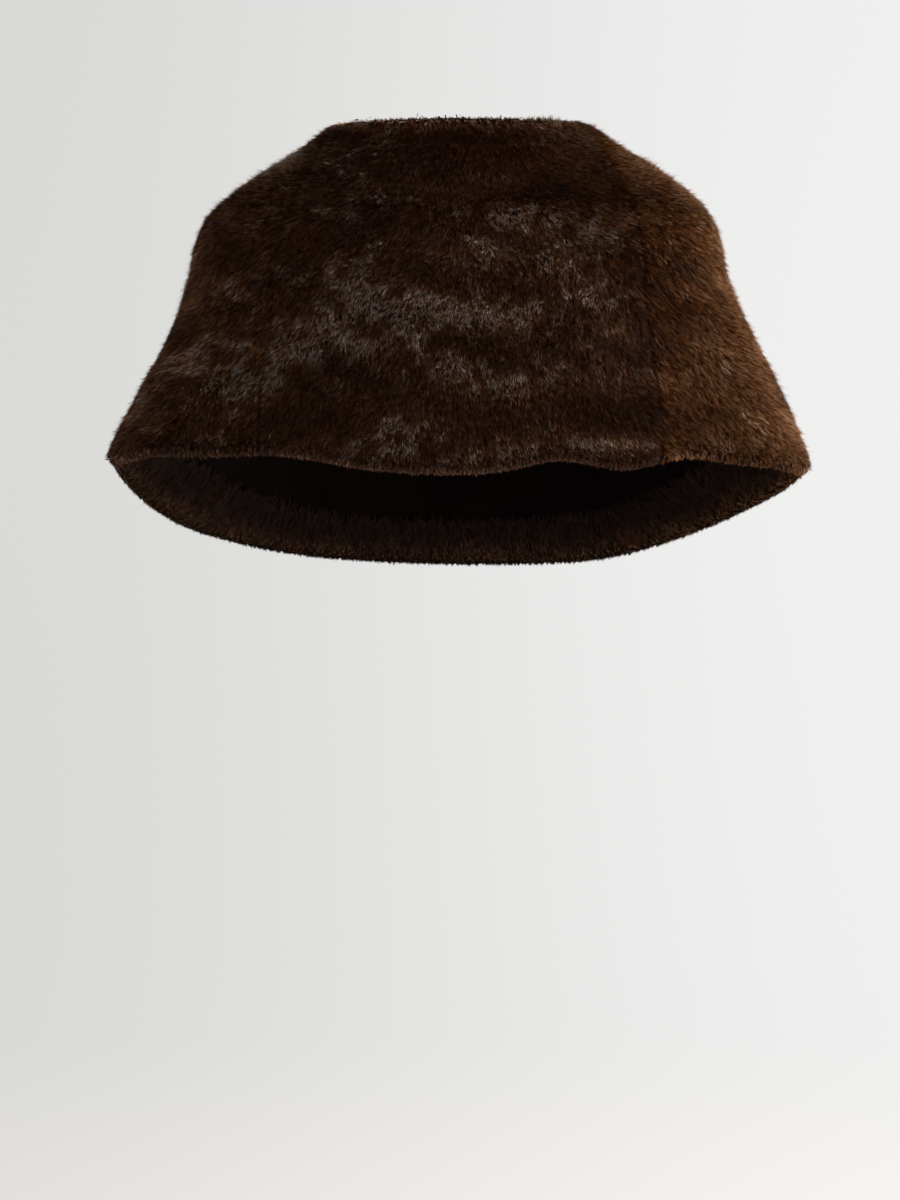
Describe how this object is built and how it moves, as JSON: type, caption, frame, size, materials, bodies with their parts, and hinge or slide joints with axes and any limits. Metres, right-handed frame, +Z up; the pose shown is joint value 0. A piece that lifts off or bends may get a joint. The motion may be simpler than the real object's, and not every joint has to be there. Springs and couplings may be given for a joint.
{
  "type": "cape",
  "caption": "Short shoulder cape of short-pile brown fur with a wide straight neckline, a flared hem with the fur turned up inside and a dark satin lining, hollow as worn.",
  "frame": {"origin": "midway between the tops of the wearer's shoulders, which carry the cape", "axes": "+Z up, the wearer faces -Y, the wearer's left is +X"},
  "size_m": [0.6483, 0.4191, 0.4061],
  "materials": {
    "fur": "short-pile dark brown fur, glossy guard hairs over a dense undercoat",
    "turned_up_fur": "the same fur turned up inside the hem and pressed flatter",
    "satin": "near-black satin lining"
  },
  "bodies": {
    "root": {"back_panel": "fur", "front_panel": "fur", "back_lining": "satin", "front_lining": "satin", "back_hem_facing": "turned_up_fur", "front_hem_facing": "turned_up_fur"}
  },
  "joints": []
}
